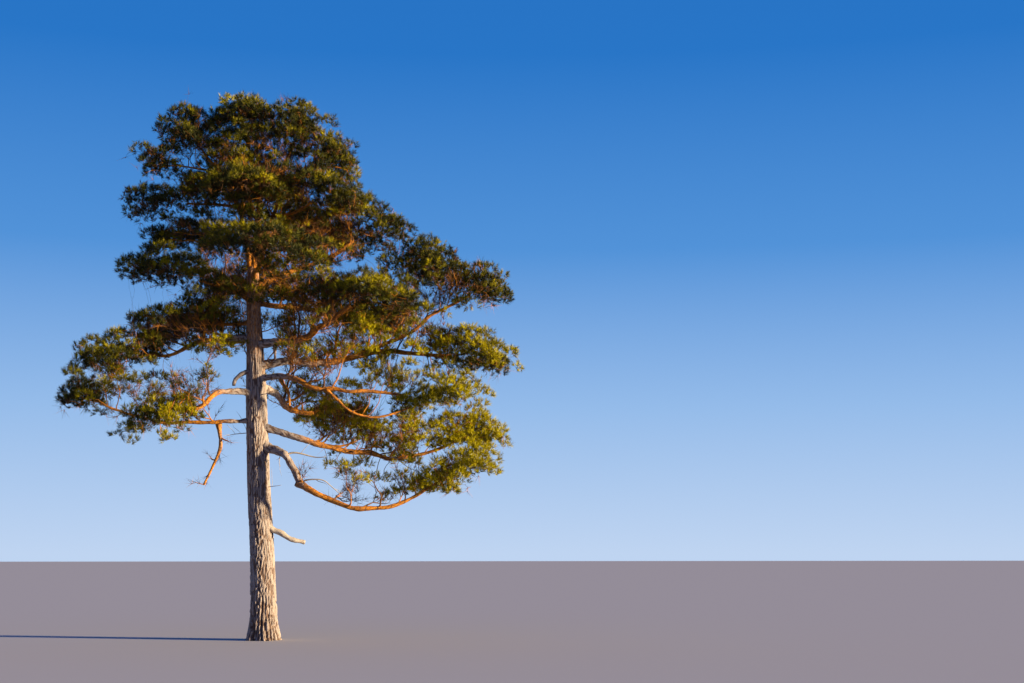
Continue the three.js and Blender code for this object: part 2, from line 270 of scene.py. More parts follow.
# Side branches of the boughs, and of those again: how far apart they leave, how far they reach, their
# thickness as a share of the parent's, how far they lean along it, and how crooked they are.
SIDE_FROM_SHARE = 0.16
SIDE_SPACING = (0.26, 0.105)
SPACING_SPREAD = (0.5, 1.5)
SIDE_REACH = (2.1, 0.80)
REACH_SPREAD = (0.5, 1.3)
SIDE_THICKNESS = (0.42, 0.55)
THICKNESS_SPREAD = (0.7, 1.1)
SIDE_LEAN = 0.75
SIDE_TAPER = 0.65
SIDE_LIFT = 0.20
SIDE_LOWEST = -0.25
CROOK = 0.24
CROOK_LIFT = 0.05
CROOK_STEP = (0.12, 0.15)
FEWEST_STEPS = 3

# The branching rule: its steps, where it may start, and how it turns. A long thin run is dropped.
GROWTH_STEP = 0.15
GROWTH_REACH = 0.20
GROWTH_TURNS = 110
GROWTH_FROM_TRUNK = 8.6
GROWTH_FROM_LIMB = 0.30
TRUNK_SEED_EVERY = 6
LIMB_SEED_EVERY = 8
SIDE_SEED_EVERY = 2
LONGEST_LINK = 0.5
STRAND_LOAD = 14
LONGEST_STRAND = 6
STUCK_COSINE = 0.995
STRAIGHTNESS = 0.45
GNARL = 0.20
RISE = 0.10

# Branches and twigs: how thickness adds up from the twigs, the columns of a branch by its radius, and
# the shares of thick and of thin ones below which each colour lies.
TWIG_RADIUS = 0.0050
PIPE_POWER = 2.45
SEED_THICKNESS = 0.8
TIP_THICKNESS = 0.6
BRANCH_RADII = (0.009, 0.02, 0.035)
BRANCH_COLUMNS = (3, 4, 6, 8)
THICK_BRANCH = 0.012
THICK_SHARES = (0.8, 1.0)
THIN_SHARES = (0.25, 0.7)
FINE_TWIGS = 7
FINE_LENGTH = (0.14, 0.40)
FINE_WIDTH = 0.011
FINE_SPREAD = 0.70
FINE_RISE = 0.15

# Shoots: how far the main one turns up, out, onward and at random, and the others round it.
SHOOTS = 3
SHOOT_UP = 0.62
SHOOT_OUT = 0.42
SHOOT_ONWARD = 0.30
SHOOT_STRAY = 0.22
SHOOT_SUNK = 0.02
MAIN_SHOOT = 0.14
SIDE_SHOOT = 0.10
SIDE_SPREAD = 0.80
SIDE_STRAY = 0.5
SHOOT_LENGTH_SPREAD = (0.7, 1.25)
STEM_WIDTH = 0.008

# Needles, which stand in pairs round each shoot. They are longer and broader than life.
PAIRS = 6
PAIR_STRAY = (0.2, 0.8)
BARE_FOOT = 0.12
NEEDLE_LENGTH = 0.125
LENGTH_SPREAD = (0.8, 1.15)
NEEDLE_WIDTH = 0.0185
NEEDLE_TWIST = 0.6
PAIR_SPREAD = 0.22
NEEDLE_LEAN = (0.90, 0.30)

# What makes a spray pale: its lump, painted light where the spray sits high on it, painted sunlight
# on the low sunny side of the crown, where in the crown it is, and chance.
LUMP_TINT_SPREAD = 0.45
PAINTED_LIGHT_ON_TOP = 0.8
SUNNY_SIDE_PAINTED_LIGHT = 1.7
SUNNY_ACROSS = (-8.0, 5.0)
SUNNY_BELOW = (6.5, 11.5)
PLACE_TINT = 0.4
PLACE_TINT_SIZE = 0.7
TINT_CHANCE = 0.25

# The needles' colours, from those of the least pale sprays to those of the palest, each with its share
# of the sprays. Then the colours of twigs, bark and dead wood.
# As the tints are dealt by paleness, the deep one is partly painted shade and the pale one partly painted
# light.
NEEDLE_TINTS = {
    "rust": ((0.130, 0.060, 0.014), 0.03),
    "deep": ((0.024, 0.029, 0.007), 0.27),
    "green": ((0.060, 0.063, 0.004), 0.25),
    "olive": ((0.138, 0.126, 0.002), 0.25),
    "pale": ((0.330, 0.290, 0.001), 0.20),
}
# The purple is a painted-shade copy of the twig bark, dealt at random; the orange is the crown's own orange
# bark, and on thin twigs partly painted light.
TWIG_COLOURS = {
    "brown": (0.115, 0.055, 0.022),
    "purple": (0.066, 0.037, 0.030),
    "orange": (0.420, 0.160, 0.012),
    "shoot": (0.14, 0.068, 0.020),
}
BARK_COLOUR = (0.4, 0.3, 0.22)
PLATE_COLOURS = ((0.370, 0.310, 0.268), (0.295, 0.265, 0.242))
PLATE_STAIN = (0.255, 0.205, 0.165)
PLATE_LIGHT = (0.47, 0.395, 0.325)
PLATE_CRACK = (0.125, 0.080, 0.058)
YOUNG_COLOURS = ((0.600, 0.228, 0.012), (0.310, 0.122, 0.018))
YOUNG_LIGHT = (0.700, 0.330, 0.035)
YOUNG_CRACK = (0.072, 0.033, 0.018)
DEAD_COLOURS = ((0.25, 0.215, 0.175), (0.50, 0.44, 0.36))


def between(ends, share):
    """The value at a share of the way from one end to the other."""
    return ends[0] + (ends[1] - ends[0]) * share


def unit(vectors):
    """The same directions, one long."""
    length = np.linalg.norm(vectors, axis=-1, keepdims=True)
    return vectors / np.maximum(length, 1e-9)


def smooth_step(low, high, value):
    """0 below low, 1 above high, and smooth between."""
    share = np.clip((value - low) / (high - low), 0, 1)
    return share * share * (3 - 2 * share)


def scrambled(cells, salt):
    """A repeatable number from 0 to 1 for each cell of a grid."""
    mixed = cells[..., 0] * 374761393 + cells[..., 1] * 668265263 + cells[..., 2] * 1440662683
    mixed = (mixed + salt * 362437) * 1274126177
    mixed = (mixed ^ (mixed >> 15)) * 2246822519
    return ((mixed ^ (mixed >> 13)) & 0xFFFFFF) / 0x1000000


def noise(points, salt):
    """Smooth noise from -1 to 1, with swells one unit apart. Each salt gives other swells."""
    low = np.floor(points).astype(np.int64)
    part = smooth_step(0, 1, points - low)
    total = np.zeros(points.shape[:-1])
    for corner in np.ndindex(2, 2, 2):
        weight = np.where(np.array(corner, bool), part, 1 - part).prod(axis=-1)
        total += weight * scrambled(low + corner, salt)
    return 2 * total - 1


def plates(places, around, salt):
    """For each place, its distance from the crack round its plate, and a number of that plate's own.

    Places are counted in plates, round the limb and along it, and start again after so many around.
    """
    low = np.floor(places).astype(np.int64)
    first = np.full(len(places), np.inf)
    second = first.copy()
    own = np.zeros(len(places))
    for step in np.ndindex(3, 3):
        cell = low + step - 1
        key = np.stack([cell[:, 0] % around, cell[:, 1], 0 * cell[:, 1]], axis=1)
        middle = cell + np.stack([scrambled(key, salt), scrambled(key, salt + 1)], axis=1)
        gap = np.linalg.norm(places - middle, axis=1)
        nearer = gap < first
        second = np.where(nearer, first, np.minimum(second, gap))
        own = np.where(nearer, scrambled(key, salt + 2), own)
        first = np.minimum(first, gap)
    return second - first, own


def smoothed(values, reach, passes=3):
    """Each row averaged with the rows up to reach before and after it."""
    for _ in range(passes):
        padded = np.concatenate([values[:1]] * reach + [values] + [values[-1:]] * reach)
        values = sum(padded[i : i + len(values)] for i in range(2 * reach + 1)) / (2 * reach + 1)
    return values


def length_along(points):
    """How far along the line each of its points is."""
    return np.concatenate([[0], np.cumsum(np.linalg.norm(np.diff(points, axis=0), axis=1))])


def resampled(points, step):
    """Points evenly spaced along the same line."""
    gone = length_along(points)
    places = np.linspace(0, gone[-1], max(2, round(gone[-1] / step) + 1))
    return np.stack([np.interp(places, gone, points[:, axis]) for axis in range(3)], axis=1)


def node_mesh(node):
    """A CAD node's vertices, edges and triangles."""
    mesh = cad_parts[node].data
    mesh.calc_loop_triangles()
    places = np.empty(3 * len(mesh.vertices), np.float32)
    edges = np.empty(2 * len(mesh.edges), np.int32)
    triangles = np.empty(3 * len(mesh.loop_triangles), np.int32)
    mesh.vertices.foreach_get("co", places)
    mesh.edges.foreach_get("vertices", edges)
    mesh.loop_triangles.foreach_get("vertices", triangles)
    return places.reshape(-1, 3).astype(float), edges.reshape(-1, 2), triangles.reshape(-1, 3)


def section(places, edges, point, normal, reach=np.inf):
    """Where a plane cuts a solid: the outline's corners in order, its middle and its area."""
    normal = unit(normal)
    start, end = ((places - point) @ normal)[edges].T
    cut = (start > 0) != (end > 0)
    share = (start / (start - end + 1e-12))[cut, None]
    corners = places[edges[cut, 0]] * (1 - share) + places[edges[cut, 1]] * share
    corners = corners[np.linalg.norm(corners - point, axis=1) < reach]
    across = unit(np.cross(normal, np.roll(np.abs(normal), 1) + 0.1))
    over = np.cross(normal, across)
    flat = (corners - corners.mean(axis=0)) @ np.stack([across, over], axis=1)
    order = np.argsort(np.arctan2(flat[:, 1], flat[:, 0]))
    flat, corners = flat[order], corners[order]
    after = np.roll(flat, -1, axis=0)
    twice = flat[:, 0] * after[:, 1] - flat[:, 1] * after[:, 0]
    middle = ((flat + after) * twice[:, None]).sum(axis=0) / (3 * twice.sum())
    centre = corners.mean(axis=0) + middle @ np.stack([across, over])
    return corners, centre, twice.sum() / 2


def far_ends(places, edges):
    """A limb's two ends, the thicker one first."""
    apart = np.linalg.norm(places[:, None] - places, axis=2)
    first, second = np.unravel_index(apart.argmax(), apart.shape)
    ends = places[first], places[second]
    chord = ends[1] - ends[0]
    areas = [section(places, edges, ends[0] + share * chord, chord)[2] for share in END_SLICES]
    return ends if areas[0] > areas[1] else ends[::-1]


def limb_route(node):
    """Points up the middle of a limb, from inside its parent to its end, and its radius at each."""
    places, edges, _ = node_mesh(node)
    foot, tip = far_ends(places, edges)
    chord = tip - foot
    shares = np.linspace(*ROUTE_SPAN, ROUTE_STATIONS)
    rough = np.array([section(places, edges, foot + share * chord, chord)[1] for share in shares])
    line = resampled(smoothed(rough, ROUTE_SMOOTHING), ROUTE_STEP)
    heading = unit(np.gradient(line, axis=0))
    areas = np.array([section(places, edges, *cut, SLICE_REACH)[2] for cut in zip(line, heading)])
    radii = np.maximum.accumulate(np.sqrt(areas / math.pi)[::-1])[::-1]
    whole = np.argmax(areas > WHOLE_SLICE * math.pi * radii**2)
    line, heading, radii = line[whole:], heading[whole:], radii[whole:]
    to_foot = ((line[0] - places) @ heading[0]).max() + ROOT_IN_PARENT * radii[0]
    to_end = ((places - line[-1]) @ heading[-1]).max()
    before = np.arange(math.ceil(to_foot / ROUTE_STEP), 0, -1)[:, None] * ROUTE_STEP
    after = np.arange(1, 1 + math.ceil(to_end / ROUTE_STEP))[:, None] * ROUTE_STEP
    line = np.concatenate([line[0] - before * heading[0], line, line[-1] + after * heading[-1]])
    radii = np.concatenate([np.full(len(before), radii[0]), radii, np.full(len(after), radii[-1])])
    return swayed(line), smoothed(radii, RADIUS_SMOOTHING)


def odd_routes(branches, wood):
    """The routes of single branches: lines through their marks from the nearest wood, and their radii."""
    routes = []
    for foot, end, marks in branches:
        nearest = wood[np.linalg.norm(wood - marks[0], axis=1).argmin()]
        line = smoothed(resampled(np.array([nearest, *marks]), ROUTE_STEP), ROUTE_SMOOTHING)
        routes.append((swayed(line), np.linspace(foot, end, len(line))))
    return routes


def swayed(line):
    """The same line, gnarled a little between its two ends."""
    gone = length_along(line)
    free = smooth_step(0, SWAY_FROM_FOOT, gone) * smooth_step(0, SWAY_TO_END, gone[-1] - gone)
    sway = np.stack([noise(line / GNARL_SIZE, salt) for salt in (51, 52, 53)], axis=1)
    return line + GNARL_SWAY * free[:, None] * sway


def frames_along(points):
    """Two directions across a line at each of its points, carried along it without twist."""
    heading = unit(np.gradient(points, axis=0))
    across = np.empty_like(points)
    side = np.eye(3)[np.abs(heading[0]).argmin()]
    for i, way in enumerate(heading):
        side = side - way * (side @ way)
        side = side / math.sqrt(side @ side)
        across[i] = side
    return across, np.cross(heading, across)


def turned(side, over, angle):
    """The direction at an angle from the first direction towards the second."""
    return np.cos(angle) * side + np.sin(angle) * over


def angles(columns):
    """The angle of each column round a limb."""
    return 2 * math.pi * np.arange(columns) / columns


def level_ring(columns):
    """A level ring of radius one."""
    angle = angles(columns)
    return np.stack([np.cos(angle), np.sin(angle), 0 * angle], axis=1)


def spokes_round(points, columns):
    """The directions out of a line all round it, for each of its points."""
    across, over = frames_along(points)
    return turned(across[:, None], over[:, None], angles(columns)[:, None])


def side_faces(rows, columns):
    """The triangles between the rings of a tube, and the row and column where each pair starts.

    The tube's points are numbered row by row.
    """
    row, side = np.divmod(np.arange((rows - 1) * columns), columns)
    here, beside = row * columns + side, row * columns + (side + 1) % columns
    faces = [
        np.stack([here, beside, beside + columns], axis=1),
        np.stack([here, beside + columns, here + columns], axis=1),
    ]
    return np.concatenate(faces), row, side


def tube_faces(rows, columns):
    """Triangles of a closed tube, and each corner's row and column as if it were unrolled.

    After the points of its rings come the middles of its foot and of its end.
    """
    faces, row, side = side_faces(rows, columns)
    flat = [
        np.stack([row, side, row, side + 1, row + 1, side + 1], axis=1),
        np.stack([row, side, row + 1, side + 1, row + 1, side], axis=1),
    ]
    side = np.arange(columns)
    turn = (side + 1) % columns
    last = (rows - 1) * columns
    foot, end = np.full(columns, rows * columns), np.full(columns, rows * columns + 1)
    low, high = np.full(columns, 0), np.full(columns, rows - 1)
    ends = [np.stack([foot, turn, side], axis=1), np.stack([end, last + side, last + turn], axis=1)]
    flat += [
        np.stack([low - 1, side + 0.5, low, side + 1, low, side], axis=1),
        np.stack([high + 1, side + 0.5, high, side, high, side + 1], axis=1),
    ]
    return np.concatenate([faces, *ends]), np.concatenate(flat).reshape(-1, 3, 2)


def spike(points, radii, columns):
    """Points and triangles of a tube along a line, open at its foot and pointed at its end."""
    rings = points[:-1, None] + radii[:-1, None, None] * spokes_round(points, columns)[:-1]
    side = np.arange(columns)
    last = columns * (len(points) - 2)
    tip = np.stack([last + side, last + (side + 1) % columns, np.full(columns, last + columns)], axis=1)
    faces = np.concatenate([side_faces(len(points) - 1, columns)[0], tip])
    return np.concatenate([rings.reshape(-1, 3), points[-1:]]), faces


def joined(parts):
    """Several (points, faces) as one."""
    starts = np.cumsum([0] + [len(points) for points, _ in parts[:-1]])
    points = np.concatenate([points for points, _ in parts])
    return points, np.concatenate([faces + start for (_, faces), start in zip(parts, starts)])


def placed(name, data):
    """A new object in the scene."""
    thing = bpy.data.objects.new(name, data)
    bpy.context.scene.collection.objects.link(thing)
    return thing


def new_piece(name, points, faces, material, slot, stands_for=(), smooth=False):
    """A mesh that rides with the tree, wears the material and stands for CAD nodes."""
    mesh = bpy.data.meshes.new(name)
    mesh.vertices.add(len(points))
    mesh.vertices.foreach_set("co", points.astype(np.float32).ravel())
    mesh.loops.add(faces.size)
    mesh.loops.foreach_set("vertex_index", faces.astype(np.int32).ravel())
    mesh.polygons.add(len(faces))
    mesh.polygons.foreach_set("loop_start", np.arange(0, faces.size, 3, dtype=np.int32))
    mesh.update(calc_edges=True)
    mesh.materials.append(material)
    if smooth:
        mesh.shade_smooth()
    piece = placed(name, mesh)
    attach(piece, "root")
    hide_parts(*stands_for)
    return piece


def add_values(piece, name, values):
    """A number, or three, for each point of a piece, for its material to read."""
    kind, field = ("FLOAT", "value") if values.ndim == 1 else ("FLOAT_VECTOR", "vector")
    layer = piece.data.attributes.new(name, kind, "POINT")
    layer.data.foreach_set(field, values.astype(np.float32).ravel())


def add_map(piece, places):
    """The piece's bark laid out flat, from a place in metres for each corner."""
    low, high = places.min(axis=(0, 1)), places.max(axis=(0, 1))
    layer = piece.data.uv_layers.new(name="OFBake")
    layer.data.foreach_set("uv", ((places - low) / (high - low)).astype(np.float32).ravel())


def bark_piece(name, parts, material, slot, stands_for):
    """One piece from tubes with bark.

    Each part is its points and faces, the flat place of each corner, and for each point of its rings
    the bark's age, ridge and plate number and the place in the limb's own directions.
    """
    points, faces, flat, *values = zip(*parts)
    piece = new_piece(name, *joined(list(zip(points, faces))), material, slot, stands_for, smooth=True)
    for kind, kept in zip(("age", "ridge", "plate", "along"), values):
        add_values(piece, kind, np.concatenate([value for part in kept for value in (part, part[[0, -1]])]))
    add_map(piece, np.concatenate(flat))


def old_bark(surface, turn, gone, girth, depth, plate_size):
    """Depth of cracks below the face of the bark, how much each point is plate, and its plate's number.

    turn is how far round the limb each point lies, from 0 to 1, and gone is how far along it.
    """
    around = max(3, round(girth / plate_size[0]))
    weave = np.stack([noise(surface / WEAVE_SIZE, salt) for salt in (11, 12)], axis=1)
    places = np.stack([turn * around, gone / plate_size[1]], axis=1) + PLATE_WEAVE * weave
    gap, plate = plates(places, around, 21)
    ridge = smooth_step(0.0, PLATE_EDGE, gap)
    fine_gap, _ = plates(FINE_PLATES * places, FINE_PLATES * around, 31)
    fine = smooth_step(0.0, PLATE_EDGE, fine_gap)
    sunk = depth * ((1 - ridge) + FINE_DEPTH * (1 - fine) + PLATE_STEP * plate)
    return sunk, ridge * between((1 - FINE_SHOWS, 1), fine), plate


def trunk_outline():
    """The trunk's middle and its radius round it, at each row's height."""
    places, edges, _ = node_mesh("trunk")
    height = places[:, 2].max() * np.linspace(0, 1, TRUNK_ROWS) ** TRUNK_CROWDING
    middles, radii = [], []
    for level in np.clip(height, CUT_MARGIN, height[-1] - CUT_MARGIN):
        corners, middle, _ = section(places, edges, np.array([0, 0, level]), UP)
        out = (corners - middle)[:, :2]
        turn = np.arctan2(out[:, 1], out[:, 0])
        order = np.argsort(turn)
        radius = np.hypot(*out[order].T)
        middles.append(middle)
        radii.append(np.interp(angles(TRUNK_COLUMNS), turn[order], radius, period=2 * math.pi))
    waves = np.fft.rfft(smoothed(np.array(radii), OUTLINE_SMOOTHING), axis=1)
    waves[:, ROOT_WAVES:] = 0
    middles = smoothed(np.array(middles), MIDDLE_SMOOTHING)
    middles[:, 2] = height
    return middles, np.fft.irfft(waves, TRUNK_COLUMNS, axis=1)


def splayed_legs(height, angle):
    """How deep each point lies in the gaps between the narrow legs that the trunk's foot splays into."""
    places = np.stack([np.cos(angle), np.sin(angle), LEG_STRAY_UP * height], axis=1)
    wander = LEG_STRAY * noise(places * LEG_STRAY_SCALE, 43)
    wave = 0.5 + 0.5 * np.cos(LEGS * angle + wander * math.pi)
    return wave**LEG_SHARPNESS * np.exp(-((height / LEG_HEIGHT) ** LEG_FADE))


def make_trunk(material):
    """The trunk, whose plated bark turns thin and flaky in the crown. Returns its middle and radii."""
    middles, radii = trunk_outline()
    level = middles[:, 2]
    close = 1 - smooth_step(level[-1] + TOP_CLOSES[0], level[-1] + TOP_CLOSES[1], level)
    radii = radii * np.sqrt(close)[:, None]
    spokes = level_ring(TRUNK_COLUMNS)
    surface = (middles[:, None] + radii[:, :, None] * spokes).reshape(-1, 3)
    height = surface[:, 2]
    patch = BARK_STRAY * noise(surface * BARK_STRAY_SCALE, 41)
    age = 1 - YOUNG_SHARE * smooth_step(OLD_BARK_TO, YOUNG_BARK_FROM, height + patch)
    at_foot = np.exp(-height / FOOT_BARK_HEIGHT)
    depth = between((CRACK_DEPTH_YOUNG, CRACK_DEPTH_OLD), age)
    depth = depth + age * at_foot * (CRACK_DEPTH_AT_FOOT - CRACK_DEPTH_OLD)
    turn = np.tile(angles(TRUNK_COLUMNS), TRUNK_ROWS)
    girth = 2 * math.pi * radii.mean()
    sunk, ridge, plate = old_bark(surface, turn / (2 * math.pi), height, girth, depth, TRUNK_PLATE)
    leg = splayed_legs(height, turn)
    # Painted shade: the gaps between the legs take the dark crack colour.
    ridge = ridge * (1 - LEG_GAPS_PAINTED_SHADE * leg)
    swell = TRUNK_SWELL * noise(surface * TRUNK_SWELL_SCALE, 42)
    splay = FOOT_SWELL * np.exp(-height / FOOT_SWELL_HEIGHT)
    out = (swell + splay - sunk - LEG_DEPTH * leg)[:, None]
    points = surface + out * np.tile(spokes, (TRUNK_ROWS, 1))
    points = np.concatenate([points, middles[:1], middles[-1:]])
    faces, flat = tube_faces(TRUNK_ROWS, TRUNK_COLUMNS)
    flat = flat[:, :, ::-1] * (girth / TRUNK_COLUMNS, level[-1] / TRUNK_ROWS)
    along = surface - np.repeat(middles * (1, 1, 0), TRUNK_COLUMNS, axis=0)
    part = points, faces, flat, age, ridge, plate, along
    bark_piece("trunk_with_bark", [part], material, "trunk_bark", ["trunk"])
    return middles, radii.mean(axis=1)


def limb_surface(line, radii, trunk_gap):
    """A limb's columns, its points with bark, and the age, ridge, plate number and place of each.

    trunk_gap is how far each point of the line is from the middle of the trunk.
    """
    columns = int(np.clip(2 * math.pi * radii.max() / COLUMN_WIDTH, FEWEST_COLUMNS, MOST_COLUMNS))
    gone = length_along(line)
    spokes = spokes_round(line, columns)
    collar = 1 + COLLAR_SWELL * np.exp(-((gone / (COLLAR_LENGTH * radii[0] + COLLAR_MARGIN)) ** 2))
    surface = (line[:, None] + (radii * collar)[:, None, None] * spokes).reshape(-1, 3)
    along = radii[:, None, None] * level_ring(columns) + gone[:, None, None] * UP
    broad, close = (noise(surface * scale, salt) for scale, salt in zip(GNARL_SCALES, (54, 55)))
    swell = GNARL_SWELL * broad + 0.5 * GNARL_SWELL * close
    reach = np.repeat(trunk_gap, columns) + OLD_REACH_STRAY * noise(surface * OLD_REACH_SCALE, 56)
    reach = reach + YOUNG_BARK_NEARER * smooth_step(*YOUNG_BARK_ABOVE, surface[:, 2])
    age = 1 - smooth_step(*OLD_BARK_REACH, reach / radii[0])
    turn = np.tile(np.arange(columns) / columns, len(line))
    depth = CRACK_DEPTH_YOUNG + LIMB_CRACKS * age
    girth = 2 * math.pi * radii.mean()
    sunk, ridge, plate = old_bark(surface, turn, np.repeat(gone, columns), girth, depth, LIMB_PLATE)
    out = np.repeat(radii, columns) * swell - sunk
    points = surface + out[:, None] * spokes.reshape(-1, 3)
    points = np.concatenate([points, line[[0, -1]]])
    return columns, points, (age, ridge, plate, along.reshape(-1, 3) + line[-1])


def make_boughs(routes, trunk_line, material):
    """All leaders and boughs as one piece, each laid out flat beside the one before it."""
    parts = []
    shelf = 0.0
    for line, radii in routes:
        trunk_middle = np.interp(line[:, 2], trunk_line[:, 2], trunk_line[:, 0])
        trunk_gap = np.hypot(line[:, 0] - trunk_middle, line[:, 1])
        columns, points, values = limb_surface(line, radii, trunk_gap)
        faces, flat = tube_faces(len(line), columns)
        width = 2 * math.pi * radii.mean() / columns
        parts.append((points, faces, flat * (ROUTE_STEP, width) + (0, shelf), *values))
        shelf += width * (columns + 1)
    bark_piece("boughs_with_bark", parts, material, "limb_bark", LIMB_NODES)


def make_stub(material):
    """The thick dead stub low on the trunk: bare wood, knotty, with a broken end."""
    line, radii = limb_route("dead_stub")
    spokes = spokes_round(line, STUB_COLUMNS)
    surface = line[:, None] + radii[:, None, None] * spokes
    broad, close = (noise(surface * scale, salt) for scale, salt in zip(KNOT_SCALES, (57, 58)))
    rough = 1 + STUB_KNOTS * broad + 0.5 * STUB_KNOTS * close
    rough[-2:] += STUB_BREAK * noise(surface[-2:] * BREAK_SCALES[0], 59)
    points = line[:, None] + (radii[:, None] * rough)[:, :, None] * spokes
    points[-1] += STUB_BREAK * radii[-1] * noise(surface[-1] * BREAK_SCALES[1], 60)[:, None]
    points = np.concatenate([points.reshape(-1, 3), line[[0, -1]]])
    faces, _ = tube_faces(len(line), STUB_COLUMNS)
    new_piece("dead_stub_wood", points, faces, material, "dead_wood", ["dead_stub"], smooth=True)


def make_dead_wood(wood):
    """The stub and the bare dead branches, with a few side branches of their own."""
    material = dead_wood_material()
    make_stub(material)
    dead = odd_routes(DEAD_BRANCHES, wood)
    dead += side_branches(dead, 1, np.random.default_rng(3))[::DEAD_SIDES_KEPT]
    parts = [spike(*route, DEAD_COLUMNS) for route in dead]
    new_piece("dead_twigs", *joined(parts), material, "dead_wood", smooth=True)


def shades_trunk(points):
    """Which points lie in the light's way to the lower trunk, which the photograph shows lit."""
    flat = unit(KEY_WAY[:2])
    gone = points[:, :2] @ flat
    beside = points[:, 0] * flat[1] - points[:, 1] * flat[0]
    level = points[:, 2] - gone * math.tan(KEY_HEIGHT)
    return (gone > LIT_TRUNK_REACH) & (np.abs(beside) < LIT_TRUNK_REACH) & (level < LIT_TRUNK_TO)


def in_clear_part(points):
    """Which points lie in the gaps between the limbs that the photograph shows clear."""
    parts = [(np.abs(points - middle) < np.array(size) / 2).all(axis=1) for middle, size in CLEAR_PARTS]
    return np.any(parts, axis=0)


def wandering(foot, way, reach, step, random):
    """A crooked line that rises a little as it goes."""
    points = [foot]
    for _ in range(max(FEWEST_STEPS, round(reach / step))):
        way = unit(way + CROOK * random.normal(size=3) + CROOK_LIFT * UP)
        points.append(points[-1] + step * way)
    return np.array(points)


def side_branches(routes, order, random):
    """Crooked branches that leave each route at intervals, shorter towards its end: lines and radii."""
    branches = []
    for line, radii in routes:
        gone = length_along(line)
        heading = unit(np.gradient(line, axis=0))
        place = SIDE_FROM_SHARE * gone[-1] + SIDE_SPACING[order] * random.random()
        while place < gone[-1]:
            i = np.searchsorted(gone, place)
            away = unit(np.cross(heading[i], random.normal(size=3)))
            away *= 1 if away[2] > SIDE_LOWEST else -1
            way = unit(SIDE_LEAN * heading[i] + away + SIDE_LIFT * UP)
            reach = SIDE_REACH[order] * random.uniform(*REACH_SPREAD) * (1 - SIDE_TAPER * place / gone[-1])
            branch = wandering(line[i], way, reach, CROOK_STEP[order], random)
            thick = SIDE_THICKNESS[order] * radii[i] * random.uniform(*THICKNESS_SPREAD)
            lets_light_by = not shades_trunk(branch[len(branch) // 2 :]).any()
            wanted = lets_light_by or random.random() < SHADE_ANYWAY
            if wanted and in_clear_part(branch).mean() < MOST_IN_CLEAR:
                branches.append((branch, np.linspace(thick, min(thick, TWIG_RADIUS), len(branch))))
            place += SIDE_SPACING[order] * random.uniform(*SPACING_SPREAD)
    return branches


def surface_points(node, density, random):
    """Points spread at random over a mass's surface, and which way is out at each."""
    places, _, triangles = node_mesh(node)
    a, b, c = places[triangles].transpose(1, 0, 2)
    normal = np.cross(b - a, c - a)
    area = np.linalg.norm(normal, axis=1) / 2
    pick = random.choice(len(area), round(density * area.sum()), p=area / area.sum())
    s, t = random.random((2, len(pick), 1))
    root = np.sqrt(s)
    points = a[pick] * (1 - root) + b[pick] * root * (1 - t) + c[pick] * root * t
    return points, unit(normal[pick])


def faces_another_mass(points, out):
    """Which points on the masses have another surface close in front of them."""
    masses = [(places, triangles) for places, _, triangles in map(node_mesh, FOLIAGE_NODES)]
    corners, triangles = joined(masses)
    crown = BVHTree.FromPolygons(corners.tolist(), triangles.tolist())
    return np.array([
        crown.ray_cast(Vector(point + WALL_OFFSET * way), Vector(way), WALL_REACH)[0] is not None
        for point, way in zip(points, out)
    ])


def thinned(points, spacing):
    """Indices of points that keep their distance, taken in order."""
    tree = KDTree(len(points))
    for i, point in enumerate(points):
        tree.insert(point, i)
    tree.balance()
    kept = np.ones(len(points), bool)
    for i, point in enumerate(points):
        if kept[i]:
            for _, other, _ in tree.find_range(point, spacing):
                kept[other] = other <= i and kept[other]
    return np.flatnonzero(kept)


def mass_lumps(random):
    """The lumps of foliage over and inside the masses: middle, radius, the way each faces, and how pale.

    The inner lumps are made darker, as painted shade.
    """
    found = [surface_points(node, LUMP_TRIES, random) for node in FOLIAGE_NODES]
    points, out = (np.concatenate(part) for part in zip(*found))
    high = smooth_step(*HIGH_CROWN, points[:, 2])
    inner = np.flatnonzero(random.random(len(points)) < between(INNER_KEPT, high))
    inner = inner[thinned(points[inner], INNER_SPACING)]
    keep = noise(points / CLUMP_SIZE, 61) > between(LUMP_GAPS, high)
    keep &= ~faces_another_mass(points, out) | (random.random(len(points)) < between(WALLED_KEPT, high))
    keep &= np.clip(UNDERSIDE_KEPT + UPWARD_KEPT * out[:, 2], 0, 1) > random.random(len(points))
    outer = np.flatnonzero(keep)
    outer = outer[thinned(points[outer], LUMP_SPACING)]
    radius = random.uniform(*LUMP_RADIUS, len(outer) + len(inner))
    pale = LUMP_TINT_SPREAD * random.normal(size=len(radius))
    # Painted shade: the inner lumps get darker tints.
    pale[len(outer) :] -= INNER_PAINTED_SHADE
    inward = radius + LUMP_DEPTH + LUMP_STRAY * random.normal(size=len(radius))
    inward[len(outer) :] = random.uniform(*INNER_DEPTH, len(inner))
    both = np.concatenate([outer, inner])
    return points[both] - inward[:, None] * out[both], radius, out[both], pale


def lumps_at(points, radii, random):
    """Lumps of foliage that face up: middle, radius, the way each faces, and how pale."""
    radius = random.uniform(*radii, len(points))
    pale = LUMP_TINT_SPREAD * random.normal(size=len(points))
    return points, radius, np.tile(UP, (len(points), 1)), pale


def loose_lumps(random):
    """Small lumps scattered through the open parts of the crown."""
    points = []
    for middle, size, count in LOOSE_PARTS:
        in_ball = unit(random.normal(size=(count, 3))) * np.cbrt(random.random((count, 1)))
        points.append(np.array(middle) + in_ball * np.array(size) / 2)
    return lumps_at(np.concatenate(points), LOOSE_RADIUS, random)


def tip_lumps(branches, random):
    """Small clumps of foliage on the tips of some side branches."""
    tips = np.array([line[-1] for line, _ in branches])
    tips = tips[random.random(len(tips)) < TIP_CLUMPS * (1 + sun_lit(tips))]
    return lumps_at(tips, TIP_CLUMP_RADIUS, random)


def sun_lit(points):
    """How far each point lies in the low part of the crown, where the light gets in: 0 to 1."""
    return smooth_step(*SUNNY_ACROSS, points[:, 0]) * (1 - smooth_step(*SUNNY_BELOW, points[:, 2]))


